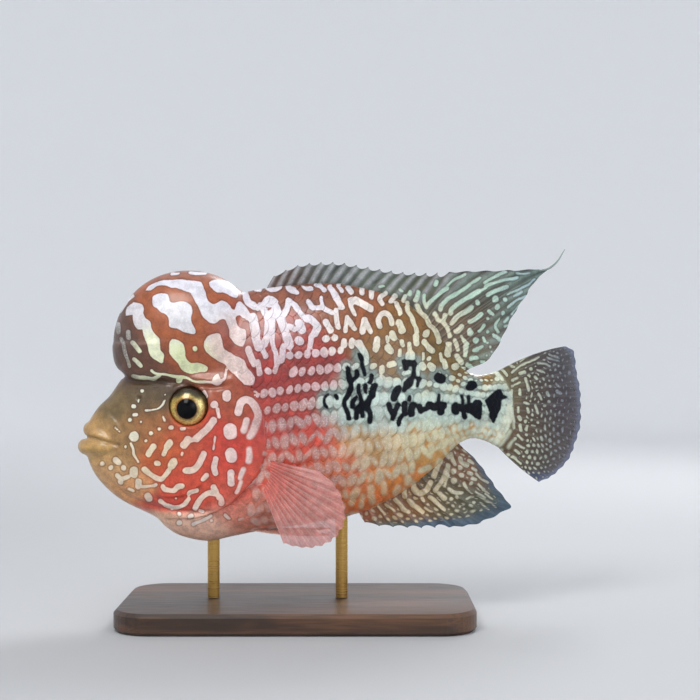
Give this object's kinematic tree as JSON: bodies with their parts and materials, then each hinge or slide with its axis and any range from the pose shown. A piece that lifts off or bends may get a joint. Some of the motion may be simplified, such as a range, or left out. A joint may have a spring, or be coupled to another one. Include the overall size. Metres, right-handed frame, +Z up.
{
  "type": "flowerhorn cichlid",
  "caption": "Life-size display model of a flowerhorn cichlid with a domed forehead hump, pearly markings and spread fins, held above a plain wooden plate by slim brass rods",
  "frame": {"origin": "on the floor, under the middle of the whole model's bounding box", "axes": "+Z up, +X from the mouth towards the tail, the fish's left flank faces -Y"},
  "size_m": [0.2242, 0.078, 0.1612],
  "materials": {
    "skin": "orange-red fish skin under a wet gloss, with pearl-white marks and black marks along the middle of the flank",
    "fin": "olive-brown fin membrane with raised rays and rows of pale dots",
    "pale_fin": "thin pink fin membrane with fine rays",
    "eye": "golden iris round a black pupil under a clear, polished cornea",
    "stand_wood": "dark, satin-finished hardwood",
    "stand_brass": "satin brass rod"
  },
  "bodies": {
    "root": {"head": "skin", "nuchal_hump": "skin", "torso": "skin", "tail": "skin", "gill_cover_left": "skin", "gill_cover_right": "skin", "eye_left": "eye", "eye_right": "eye", "pectoral_fin_left": "pale_fin", "pectoral_fin_right": "pale_fin", "pelvic_fin_left": "pale_fin", "pelvic_fin_right": "pale_fin", "dorsal_fin": "fin", "anal_fin": "fin", "caudal_fin": "fin", "stand_base": "stand_wood", "stand_rod_front": "stand_brass", "stand_rod_rear": "stand_brass"}
  },
  "joints": []
}
